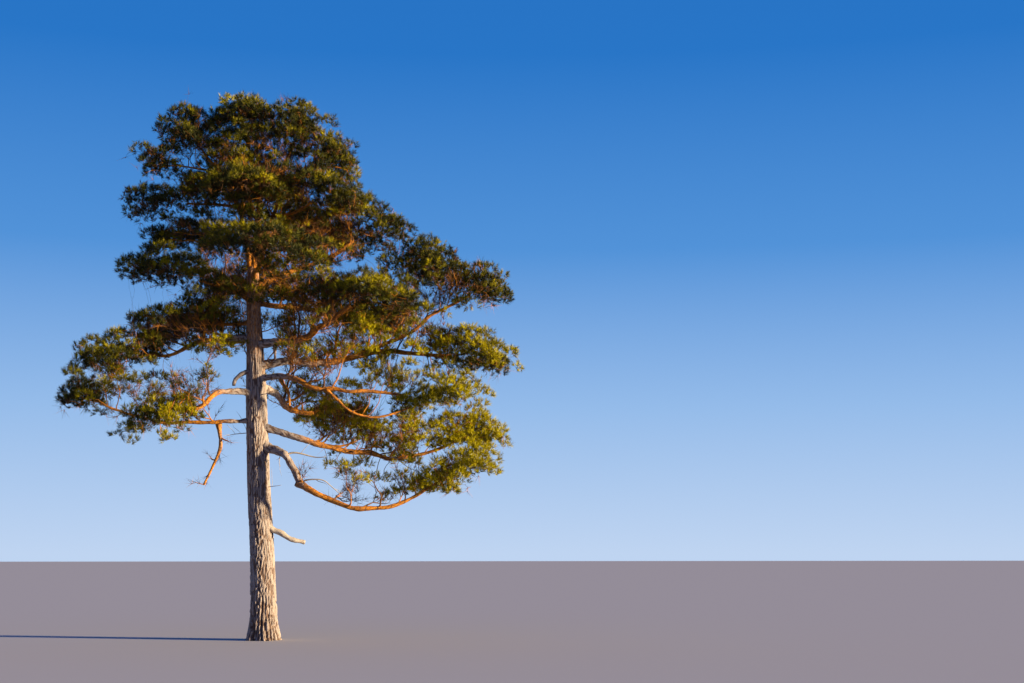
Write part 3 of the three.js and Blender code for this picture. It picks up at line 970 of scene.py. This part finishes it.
def lump_sprays(middle, radius, face, pale, random):
    """Places, outward ways and paleness of the sprays over the top and outer side of one lump.

    Painted light makes the sprays paler the higher they sit on the lump.
    """
    count = round(SPRAYS_PER_AREA * radius**2)
    height = 1 - (1 - DOME_EDGE) * (np.arange(count) + 0.5) / count
    turn = GOLDEN_TURN * np.arange(count) + FIRST_TURN * random.random()
    lead = unit(UP + FACE_LEAN * face)
    side, over = across_of(lead[None])
    flat = np.sqrt(1 - height**2)
    way = np.outer(height, lead) + np.outer(flat * np.cos(turn), side) + np.outer(flat * np.sin(turn), over)
    way = unit(way + SPRAY_STRAY * random.normal(size=way.shape))
    reach = radius * random.uniform(*SPRAY_REACH, (count, 1))
    # Painted light: the higher a spray sits on its lump, the paler its tint.
    return middle + reach * way * (1, 1, DOME_HEIGHT), way, pale + PAINTED_LIGHT_ON_TOP * way[:, 2]


def spray_places(branches):
    """Where twigs end: the places, the way out there, how pale each is, and which of them stay bare."""
    random = np.random.default_rng(7)
    found = mass_lumps(random), loose_lumps(random), tip_lumps(branches, random)
    lumps = [lump_sprays(*lump, random) for kind in found for lump in zip(*kind)]
    leafy, out, pale = (np.concatenate(part) for part in zip(*lumps))
    under = [surface_points(node, BARE_DENSITY, random) for node in FOLIAGE_NODES]
    dead = [points - way * random.uniform(*BARE_DEPTH, (len(points), 1)) for points, way in under]
    points = np.concatenate([leafy, *dead])
    count = len(points) - len(leafy)
    out = np.concatenate([out, np.tile(UP, (count, 1))])
    pale = np.concatenate([pale, np.zeros(count)])
    bare = np.arange(len(points)) >= len(leafy)
    order = np.concatenate([random.permutation(len(leafy)), len(leafy) + random.permutation(count)])
    order = order[~shades_trunk(points[order]) & ~in_clear_part(points[order])]
    order = order[thinned(points[order], SPRAY_SPACING)]
    return points[order], out[order], pale[order], bare[order]


def growth_seeds(routes, side, trunk_line, trunk_radii):
    """Places on the wood that branches may leave, the way the wood runs there, and its radius."""
    first = np.argmax(trunk_line[:, 2] > GROWTH_FROM_TRUNK)
    spots = [(trunk_line, trunk_radii, slice(first, None, TRUNK_SEED_EVERY))]
    for line, radii in routes:
        spots.append((line, radii, slice(round(GROWTH_FROM_LIMB * len(line)), None, LIMB_SEED_EVERY)))
    for line, radii in side:
        spots.append((line, radii, slice(SIDE_SEED_EVERY, None, SIDE_SEED_EVERY)))
    places = np.concatenate([line[kept] for line, _, kept in spots])
    heading = np.concatenate([unit(np.gradient(line, axis=0))[kept] for line, _, kept in spots])
    return places, heading, np.concatenate([radii[kept] for _, radii, kept in spots])


def update_nearest(targets, fresh, start, nearest, gap):
    """Gives each target a new node as its nearest where that one is nearer."""
    square = (targets**2).sum(axis=1)[:, None] + (fresh**2).sum(axis=1) - 2 * targets @ fresh.T
    best = square.argmin(axis=1)
    found = np.sqrt(np.maximum(square[np.arange(len(targets)), best], 0))
    nearer = found < gap
    nearest[nearer] = start + best[nearer]
    gap[nearer] = found[nearer]


def grow(seeds, heading, targets):
    """The branching rule: each turn, every node that is the nearest to some targets grows towards them.

    Returns the nodes, each one's parent, and each target's nearest node and distance.
    """
    random = np.random.default_rng(19)
    nodes, parent = seeds, np.full(len(seeds), -1)
    last = np.zeros_like(nodes)
    nearest = np.zeros(len(targets), int)
    gap = np.full(len(targets), np.inf)
    update_nearest(targets, nodes, 0, nearest, gap)
    for _ in range(GROWTH_TURNS):
        live = np.flatnonzero(gap > GROWTH_REACH)
        if len(live) == 0:
            break
        pull = unit(targets[live] - nodes[nearest[live]])
        movers, group = np.unique(nearest[live], return_inverse=True)
        way = unit(np.stack([np.bincount(group, pull[:, axis]) for axis in range(3)], axis=1))
        closest = np.zeros(len(movers), int)
        order = np.argsort(-gap[live])
        closest[group[order]] = order
        stuck = (way * last[movers]).sum(axis=1) > STUCK_COSINE
        way[stuck] = pull[closest[stuck]]
        last[movers] = way
        bend = GNARL * random.normal(size=way.shape) + RISE * UP + STRAIGHTNESS * heading[movers]
        way = unit(way + bend * ~stuck[:, None])
        fresh = nodes[movers] + GROWTH_STEP * way
        update_nearest(targets, fresh, len(nodes), nearest, gap)
        nodes = np.concatenate([nodes, fresh])
        heading = np.concatenate([heading, way])
        last = np.concatenate([last, 0 * way])
        parent = np.concatenate([parent, movers])
    return nodes, parent, nearest, gap


def pruned(nodes, parent, seeds, wanted):
    """The network without what leads to none of the wanted ends. The ends are its last nodes."""
    used = np.zeros(len(nodes), bool)
    used[-len(wanted) :] = wanted
    for i in range(len(nodes) - 1, seeds - 1, -1):
        if used[i]:
            used[parent[i]] = True
    used[:seeds] = True
    number = np.cumsum(used) - 1
    return nodes[used], np.where(parent >= 0, number[parent], -1)[used]


def loads(parent, seeds):
    """How many twig ends each node of the network carries. A node comes after its parent."""
    load = np.ones(len(parent))
    load[parent[seeds:]] = 0
    for i in range(len(parent) - 1, seeds - 1, -1):
        load[parent[i]] += load[i]
    return load


def beyond_strands(parent, seeds):
    """Which nodes lie beyond a long run without a fork that carries few twig ends."""
    load = loads(parent, seeds)
    children = np.bincount(parent[seeds:], minlength=len(parent))
    run = np.zeros(len(parent), int)
    beyond = np.zeros(len(parent), bool)
    for i in range(seeds, len(parent)):
        source = parent[i]
        run[i] = 1 + run[source] * (children[source] == 1)
        beyond[i] = beyond[source] or (run[i] > LONGEST_STRAND and load[i] <= STRAND_LOAD)
    return beyond


def branch_chains(nodes, parent, seed_radii):
    """The network as chains of nodes from fork to tip, with the radius at each node of a chain."""
    count, seeds = len(nodes), len(seed_radii)
    load = loads(parent, seeds)
    radius = TWIG_RADIUS * load ** (1 / PIPE_POWER)
    radius[:seeds] = SEED_THICKNESS * seed_radii
    main = np.full(count, -1)
    for i in range(seeds, count):
        radius[i] = min(radius[i], radius[parent[i]])
        best = main[parent[i]]
        if best < 0 or load[i] > load[best]:
            main[parent[i]] = i
    chains = []
    for i in range(seeds, count):
        if parent[i] < seeds or main[parent[i]] != i:
            chain = [i]
            while main[chain[-1]] >= 0:
                chain.append(main[chain[-1]])
            radii = radius[[chain[0]] + chain]
            radii[-1] *= TIP_THICKNESS
            chains.append((nodes[[parent[i]] + chain], radii))
    return chains


def grown_branches(limbs, odd, trunk_line, trunk_radii):
    """Every branch thinner than a bough, the finer side branches among them, and the twig ends.

    The ends are five arrays: their places, the way out there, how pale each is, which of them stay
    bare, and the way that each one's twig comes.
    """
    random = np.random.default_rng(5)
    side = side_branches(limbs, 0, random)
    finer = side_branches(side, 1, random)
    ends = spray_places(side + finer)
    seeds, heading, seed_radii = growth_seeds(limbs, side + finer, trunk_line, trunk_radii)
    finer += side_branches(odd, 1, random)[::ODD_SIDES_KEPT]
    nodes, parent, nearest, gap = grow(seeds, heading, ends[0])
    linked = gap < LONGEST_LINK
    nearest = nearest[linked]
    ends = [values[linked] for values in ends]
    ends.append(unit(ends[0] - nodes[nearest]))
    nodes, parent = np.concatenate([nodes, ends[0]]), np.concatenate([parent, nearest])
    nodes, parent = pruned(nodes, parent, len(seeds), np.ones(len(nearest), bool))
    firm = ~beyond_strands(parent, len(seeds))[-len(nearest) :]
    nodes, parent = pruned(nodes, parent, len(seeds), firm)
    chains = side + finer + branch_chains(nodes, parent, seed_radii)
    return chains, finer, [values[firm] for values in ends]


def make_branches(chains, materials):
    """Branches and twigs, dealt out to one piece for each material: thick ones orange, twigs mixed."""
    random = np.random.default_rng(23)
    dealt = [[] for _ in materials]
    for points, radii in chains:
        shares = THICK_SHARES if radii[0] > THICK_BRANCH else THIN_SHARES
        columns = BRANCH_COLUMNS[np.searchsorted(BRANCH_RADII, radii[0])]
        dealt[np.searchsorted(shares, random.random())].append(spike(points, radii, columns))
    for (name, material), parts in zip(materials.items(), dealt):
        new_piece(name, *joined(parts), material, "limb_bark", smooth=True)


def across_of(ways):
    """Two directions across each way."""
    helper = np.where(np.abs(ways[:, 2:]) < LEVEL_ENOUGH, UP, np.array([1.0, 0, 0]))
    side = unit(np.cross(ways, helper))
    return side, np.cross(ways, side)


def stems(feet, ways, lengths, width):
    """A thin flat spike for each shoot."""
    side, over = across_of(ways)
    half = width / 2 * unit(side + over)
    points = np.stack([feet - half, feet + half, feet + ways * lengths[:, None]], axis=1).reshape(-1, 3)
    return points, np.arange(len(points)).reshape(-1, 3)


def make_fine_twigs(ends, came, materials):
    """The finest bare twigs, as flat spikes that fan out of places on thicker ones."""
    random = np.random.default_rng(41)
    feet = np.repeat(ends, FINE_TWIGS, axis=0)
    stray = FINE_SPREAD * random.normal(size=feet.shape)
    ways = unit(np.repeat(came, FINE_TWIGS, axis=0) + stray + FINE_RISE * UP)
    lengths = random.uniform(*FINE_LENGTH, len(feet))
    kind = random.integers(len(materials), size=len(feet))
    for number, (name, material) in enumerate(materials.items()):
        own = kind == number
        new_piece(name, *stems(feet[own], ways[own], lengths[own], FINE_WIDTH), material, "limb_bark")


def shoots_of(points, out, came):
    """The foot, direction and length of the shoots in each spray, spray by spray."""
    random = np.random.default_rng(29)
    stray = SHOOT_STRAY * random.normal(size=points.shape)
    lead = unit(SHOOT_UP * UP + SHOOT_OUT * out + SHOOT_ONWARD * came + stray)
    side, over = across_of(lead)
    turn = 2 * math.pi * random.random(len(points))
    ways, lengths = [], []
    for number in range(SHOOTS):
        way, length = lead, MAIN_SHOOT
        if number > 0:
            stray = SIDE_STRAY * random.normal(size=len(points))
            angle = turn + 2 * math.pi * number / (SHOOTS - 1) + stray
            way, length = unit(lead + SIDE_SPREAD * turned(side, over, angle[:, None])), SIDE_SHOOT
        ways.append(way)
        lengths.append(length * random.uniform(*SHOOT_LENGTH_SPREAD, len(points)))
    feet = np.repeat((points - SHOOT_SUNK * lead)[:, None], SHOOTS, axis=1)
    return feet, np.stack(ways, axis=1), np.stack(lengths, axis=1)


def needles(feet, ways, lengths):
    """Pairs of needles up each shoot. They lean out at its foot and close up towards its tip."""
    random = np.random.default_rng(31)
    side, over = across_of(ways)
    start = 2 * math.pi * random.random(len(feet))
    corners = []
    for number in range(PAIRS):
        share = (number + random.uniform(*PAIR_STRAY, len(feet))) / PAIRS
        away = turned(side, over, (start + number * GOLDEN_TURN)[:, None])
        beside = np.cross(ways, away)
        middle = turned(ways, away, between(NEEDLE_LEAN, share)[:, None])
        foot = feet + ways * (lengths * between((BARE_FOOT, 1), share))[:, None]
        flat = unit(beside + NEEDLE_TWIST * random.normal(size=beside.shape))
        for hand in (-1, 1):
            way = unit(middle + hand * PAIR_SPREAD * beside)
            length = NEEDLE_LENGTH * random.uniform(*LENGTH_SPREAD, len(feet))
            half = 0.5 * NEEDLE_WIDTH * flat
            corners += [foot - half, foot + half, foot + way * length[:, None]]
    points = np.stack(corners, axis=1).reshape(-1, 3)
    return points, np.arange(len(points)).reshape(-1, 3)


def deal_tints(points, pale):
    """A tint for each spray: painted light makes it paler on top of its lump and low on the sunny side,
    and painted shade makes it darker underneath.
    """
    random = np.random.default_rng(37)
    # Painted sunlight: sprays in the low sunny side of the crown get paler tints.
    pale = pale + SUNNY_SIDE_PAINTED_LIGHT * sun_lit(points) + PLACE_TINT * noise(points / PLACE_TINT_SIZE, 62)
    pale = pale + TINT_CHANCE * random.normal(size=len(points))
    rank = np.empty(len(points))
    rank[np.argsort(pale)] = np.linspace(0, 1, len(points))
    return np.searchsorted(np.cumsum([share for _, share in NEEDLE_TINTS.values()])[:-1], rank)


def make_sprays(points, out, pale, came, stem_material):
    """Every spray's needles, one piece for each tint, and all the stems as one more piece."""
    shoots = shoots_of(points, out, came)
    tint_of = deal_tints(points, pale)
    for number, (tint, (colour, _)) in enumerate(NEEDLE_TINTS.items()):
        feet, ways, lengths = (values[tint_of == number] for values in shoots)
        mesh = needles(feet.reshape(-1, 3), ways.reshape(-1, 3), lengths.ravel())
        material = needle_material(tint + "_needles", colour)
        new_piece("needles_" + tint, *mesh, material, "foliage", FOLIAGE_NODES)
    feet, ways, lengths = shoots
    mesh = stems(feet.reshape(-1, 3), ways.reshape(-1, 3), lengths.ravel(), STEM_WIDTH)
    new_piece("shoot_stems", *mesh, stem_material, "limb_bark")


class Shading:
    """A new material with one Principled shader, and short ways to feed it."""

    def __init__(self, name, colour, roughness, gloss=0.2):
        self.material = bpy.data.materials.new(name)
        self.material.use_nodes = True
        self.tree = self.material.node_tree
        self.shader = self.tree.nodes["Principled BSDF"]
        self.shader.inputs["Base Color"].default_value = (*colour, 1)
        self.shader.inputs["Roughness"].default_value = roughness
        self.shader.inputs["Specular IOR Level"].default_value = gloss
        self.place = self.add("ShaderNodeTexCoord").outputs["Object"]

    def add(self, kind, **values):
        """A node whose named inputs are given a value or joined to another node's output."""
        node = self.tree.nodes.new(kind)
        for name, value in values.items():
            self.feed(node.inputs[name.replace("_", " ")], value)
        return node

    def feed(self, socket, value):
        """Joins the socket to another node's output, or gives it a value."""
        if isinstance(value, bpy.types.NodeSocket):
            self.tree.links.new(value, socket)
        else:
            socket.default_value = value

    def held(self, name, output="Fac"):
        """What the mesh holds for each point under this name."""
        node = self.tree.nodes.new("ShaderNodeAttribute")
        node.attribute_name = name
        return node.outputs[output]

    def stretched(self, scale):
        """Places on the object, closer together where scale is larger."""
        return self.add("ShaderNodeMapping", Vector=self.place, Scale=scale).outputs["Vector"]

    def noise(self, scale, detail=4.0):
        """Noise from 0 to 1, with a scale for each axis."""
        places = self.stretched(scale)
        node = self.add("ShaderNodeTexNoise", Vector=places, Detail=detail, Scale=1, Roughness=0.55)
        return node.outputs["Fac"]

    def cracks(self, scale):
        """Distance from the cracks between cells."""
        node = self.add("ShaderNodeTexVoronoi", Vector=self.stretched(scale), Scale=1)
        node.feature = "DISTANCE_TO_EDGE"
        return node.outputs["Distance"]

    def ranged(self, value, low, high, to_low=0.0, to_high=1.0):
        """From one number to another, smoothly, as the value goes from low to high."""
        node = self.tree.nodes.new("ShaderNodeMapRange")
        node.interpolation_type = "SMOOTHSTEP"
        for socket, number in zip(list(node.inputs)[:5], (value, low, high, to_low, to_high)):
            self.feed(socket, number)
        return node.outputs["Result"]

    def added(self, first, share, second):
        """The first value and a share of the second."""
        node = self.tree.nodes.new("ShaderNodeMath")
        node.operation = "MULTIPLY_ADD"
        for socket, number in zip(node.inputs, (second, share, first)):
            self.feed(socket, number)
        return node.outputs["Value"]

    def mix(self, share, first, second):
        """From the first colour to the second as share goes from 0 to 1."""
        node = self.tree.nodes.new("ShaderNodeMix")
        node.data_type = "RGBA"
        for name, value in (("Factor_Float", share), ("A_Color", first), ("B_Color", second)):
            socket = next(s for s in node.inputs if s.identifier == name)
            self.feed(socket, (*value, 1) if isinstance(value, tuple) else value)
        return next(s for s in node.outputs if s.identifier == "Result_Color")

    def bump(self, height, strength, distance):
        """Lets the height show as relief too fine for the mesh."""
        node = self.add("ShaderNodeBump", Height=height, Strength=strength, Distance=distance)
        self.feed(self.shader.inputs["Normal"], node.outputs["Normal"])


def bark_material():
    """Old grey plates over dark cracks, and thin orange bark that peels where the tree is young."""
    bark = Shading("bark", BARK_COLOUR, 0.85)
    bark.place = bark.held("along", "Vector")
    ridge, plate, age = bark.held("ridge"), bark.held("plate"), bark.held("age")
    grain = bark.noise((90, 90, 30), 5.0)
    faces = bark.mix(plate, *PLATE_COLOURS)
    faces = bark.mix(bark.ranged(bark.noise((26, 26, 9)), 0.45, 0.80), faces, PLATE_STAIN)
    faces = bark.mix(bark.ranged(grain, 0.52, 0.74), faces, PLATE_LIGHT)
    old = bark.mix(bark.ranged(ridge, 0.05, 0.62), PLATE_CRACK, faces)
    young = bark.mix(bark.ranged(bark.noise((9, 9, 3.5), 3.0), 0.34, 0.62), *YOUNG_COLOURS)
    young = bark.mix(bark.ranged(grain, 0.54, 0.74), young, YOUNG_LIGHT)
    young = bark.mix(bark.ranged(bark.cracks((15, 15, 6)), 0.0, 0.12), YOUNG_CRACK, young)
    bark.feed(bark.shader.inputs["Base Color"], bark.mix(age, young, old))
    bark.feed(bark.shader.inputs["Roughness"], bark.ranged(age, 0, 1, 0.62, 0.92))
    scales = bark.ranged(bark.cracks((38, 38, 15)), 0.0, 0.22)
    bark.bump(bark.added(scales, 0.9, grain), 0.55, 0.010)
    return bark.material


def dead_wood_material():
    """Grey, weathered wood with fine cracks along it."""
    wood = Shading("dead_wood", DEAD_COLOURS[1], 0.8)
    grain = wood.noise((40, 60, 60))
    wood.feed(wood.shader.inputs["Base Color"], wood.mix(wood.ranged(grain, 0.35, 0.65), *DEAD_COLOURS))
    wood.bump(grain, 0.4, 0.006)
    return wood.material


def twig_material(name, colour):
    """Bark of one colour, finely scaled."""
    twig = Shading(name, colour, 0.75)
    twig.feed(twig.shader.inputs["Roughness"], twig.ranged(twig.noise((50, 50, 50)), 0.3, 0.7, 0.6, 0.9))
    twig.bump(twig.cracks((70, 70, 70)), 0.4, 0.004)
    return twig.material


def needle_material(name, colour):
    """Waxy needles of one colour, with a faint bloom."""
    needle = Shading(name, colour, 0.5, 0.12)
    bloom = needle.ranged(needle.noise((60, 60, 60), 2.0), 0.3, 0.7, 0.42, 0.66)
    needle.feed(needle.shader.inputs["Roughness"], bloom)
    return needle.material


def make_floor():
    """A plain pale floor, level with the ground."""
    reach = FLOOR_REACH
    corners = [(-reach, -reach, 0), (reach, -reach, 0), (reach, reach, 0), (-reach, reach, 0)]
    mesh = bpy.data.meshes.new("floor")
    mesh.from_pydata(corners, [], [(0, 1, 2, 3)])
    mesh.materials.append(Shading("pale_floor", FLOOR_COLOUR, 1.0, 0.0).material)
    floor = placed("floor", mesh)


def make_sky():
    """A clear sky, whose colour goes by height, and which is dimmer behind the camera."""
    world = bpy.data.worlds.new("surround")
    world.use_nodes = True
    tree = world.node_tree
    kinds = ("TexCoord", "SeparateXYZ", "ValToRGB", "MapRange", "MixRGB")
    direction, parts, ramp, behind, dimmed = (tree.nodes.new("ShaderNode" + kind) for kind in kinds)
    stops = ramp.color_ramp.elements
    stops.remove(stops[1])
    for height, colour in SKY:
        stop = stops.new(height) if height > 0 else stops[0]
        stop.color = (*colour, 1)
    behind.inputs["From Min"].default_value, behind.inputs["From Max"].default_value = SKY_DIMS
    dimmed.blend_type = "MULTIPLY"
    dimmed.inputs["Color2"].default_value = (*SKY_BEHIND, 1)
    for output, socket in (
        (direction.outputs["Generated"], parts.inputs["Vector"]),
        (parts.outputs["Y"], behind.inputs["Value"]),
        (behind.outputs["Result"], dimmed.inputs["Fac"]),
        (parts.outputs["Z"], ramp.inputs["Fac"]),
        (ramp.outputs["Color"], dimmed.inputs["Color1"]),
        (dimmed.outputs["Color"], tree.nodes["Background"].inputs["Color"]),
    ):
        tree.links.new(output, socket)
    bpy.context.scene.world = world


def make_light():
    """The low warm light from the right."""
    sun = bpy.data.lights.new("key", "SUN")
    sun.energy, sun.angle, sun.color = KEY_STRENGTH, KEY_SOFTNESS, KEY_COLOUR
    placed("key", sun).rotation_euler = Vector(KEY_WAY).to_track_quat("Z", "Y").to_euler()


def make_camera():
    """The photograph's camera."""
    lens = bpy.data.cameras.new("camera")
    lens.lens, lens.sensor_width, lens.clip_end = LENS_MM, SENSOR_MM, 4 * FLOOR_REACH
    camera = placed("camera", lens)
    camera.location = CAMERA_PLACE
    camera.rotation_euler = (math.pi / 2 + CAMERA_TILT, 0, -CAMERA_TURN)
    bpy.context.scene.camera = camera
    bpy.context.scene.view_settings.view_transform = "Standard"


def make_tree():
    """The whole tree: trunk, boughs, dead wood, branches, twigs and needles."""
    bark = bark_material()
    trunk_line, trunk_radii = make_trunk(bark)
    limbs = [limb_route(node) for node in LIMB_NODES]
    wood = np.concatenate([trunk_line, *(line for line, _ in limbs)])
    odd = odd_routes(ODD_BRANCHES, wood)
    make_boughs(limbs + odd, trunk_line, bark)
    make_dead_wood(wood)

    chains, finer, ends = grown_branches(limbs, odd, trunk_line, trunk_radii)
    places, out, pale, bare, came = ends
    twigs = {tint: twig_material(tint + "_bark", colour) for tint, colour in TWIG_COLOURS.items()}
    # Thin twigs in purple are painted shade, and those in orange partly painted light.
    make_branches(chains, {
        "branches_orange": twigs["orange"],
        "twigs_brown": twigs["brown"],
        "twigs_purple": twigs["purple"],
    })
    twiggy = np.concatenate([places[bare], *(line[1:] for line, _ in finer)])
    onward = np.concatenate([came[bare], *(unit(np.diff(line, axis=0)) for line, _ in finer)])
    # Fine twigs in purple are painted shade, and those in orange partly painted light.
    fine = {"fine_twigs_" + tint: twigs[tint] for tint in ("brown", "purple", "orange")}
    make_fine_twigs(twiggy, onward, fine)
    make_sprays(places[~bare], out[~bare], pale[~bare], came[~bare], twigs["shoot"])


make_tree()
make_floor()
make_light()
make_sky()
make_camera()
